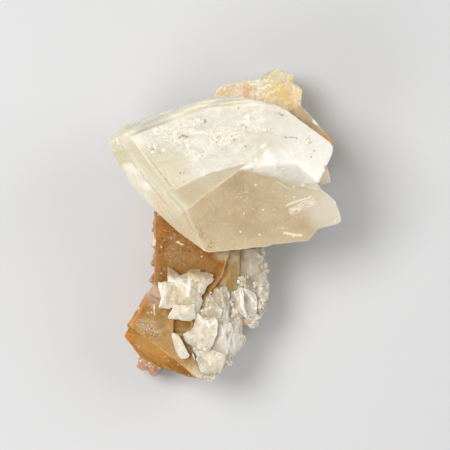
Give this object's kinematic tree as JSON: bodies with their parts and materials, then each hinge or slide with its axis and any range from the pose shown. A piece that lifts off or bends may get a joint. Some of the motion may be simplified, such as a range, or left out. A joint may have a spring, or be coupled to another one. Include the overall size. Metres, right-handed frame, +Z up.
{
  "type": "calcite specimen with fluorite and dolomite",
  "caption": "Display mineral specimen: a broad cream calcite crystal lying across a column of golden fluorite cubes, with curved white dolomite crystals.",
  "frame": {"origin": "middle of the footprint, on the plane of the flat broken back that the specimen rests on", "axes": "+X to the right across the specimen's face, +Y to its upper end, +Z up from the resting plane and out of the face"},
  "size_m": [0.0556, 0.0756, 0.0356],
  "materials": {
    "calcite": "cream-white frosted crystal, satin on its facets, translucent at its edges",
    "golden_fluorite": "brown-orange translucent crystal with an etched, satin surface",
    "cream_fluorite": "cream to pink translucent crystal with a yellow glow, satin",
    "smoky_fluorite": "smoky grey-brown translucent crystal, smooth and fairly glossy",
    "white_dolomite": "white to cream pearly crystal, granular",
    "pink_dolomite": "pinkish cream crystal, granular"
  },
  "bodies": {
    "root": {"calcite_crystal": "calcite", "fluorite_column": "golden_fluorite", "fluorite_upper_block": "cream_fluorite", "fluorite_smoky_cube": "smoky_fluorite", "dolomite_front_cluster": "white_dolomite", "dolomite_side_cluster": "white_dolomite", "dolomite_blade": "white_dolomite", "dolomite_foot": "pink_dolomite"}
  },
  "joints": []
}
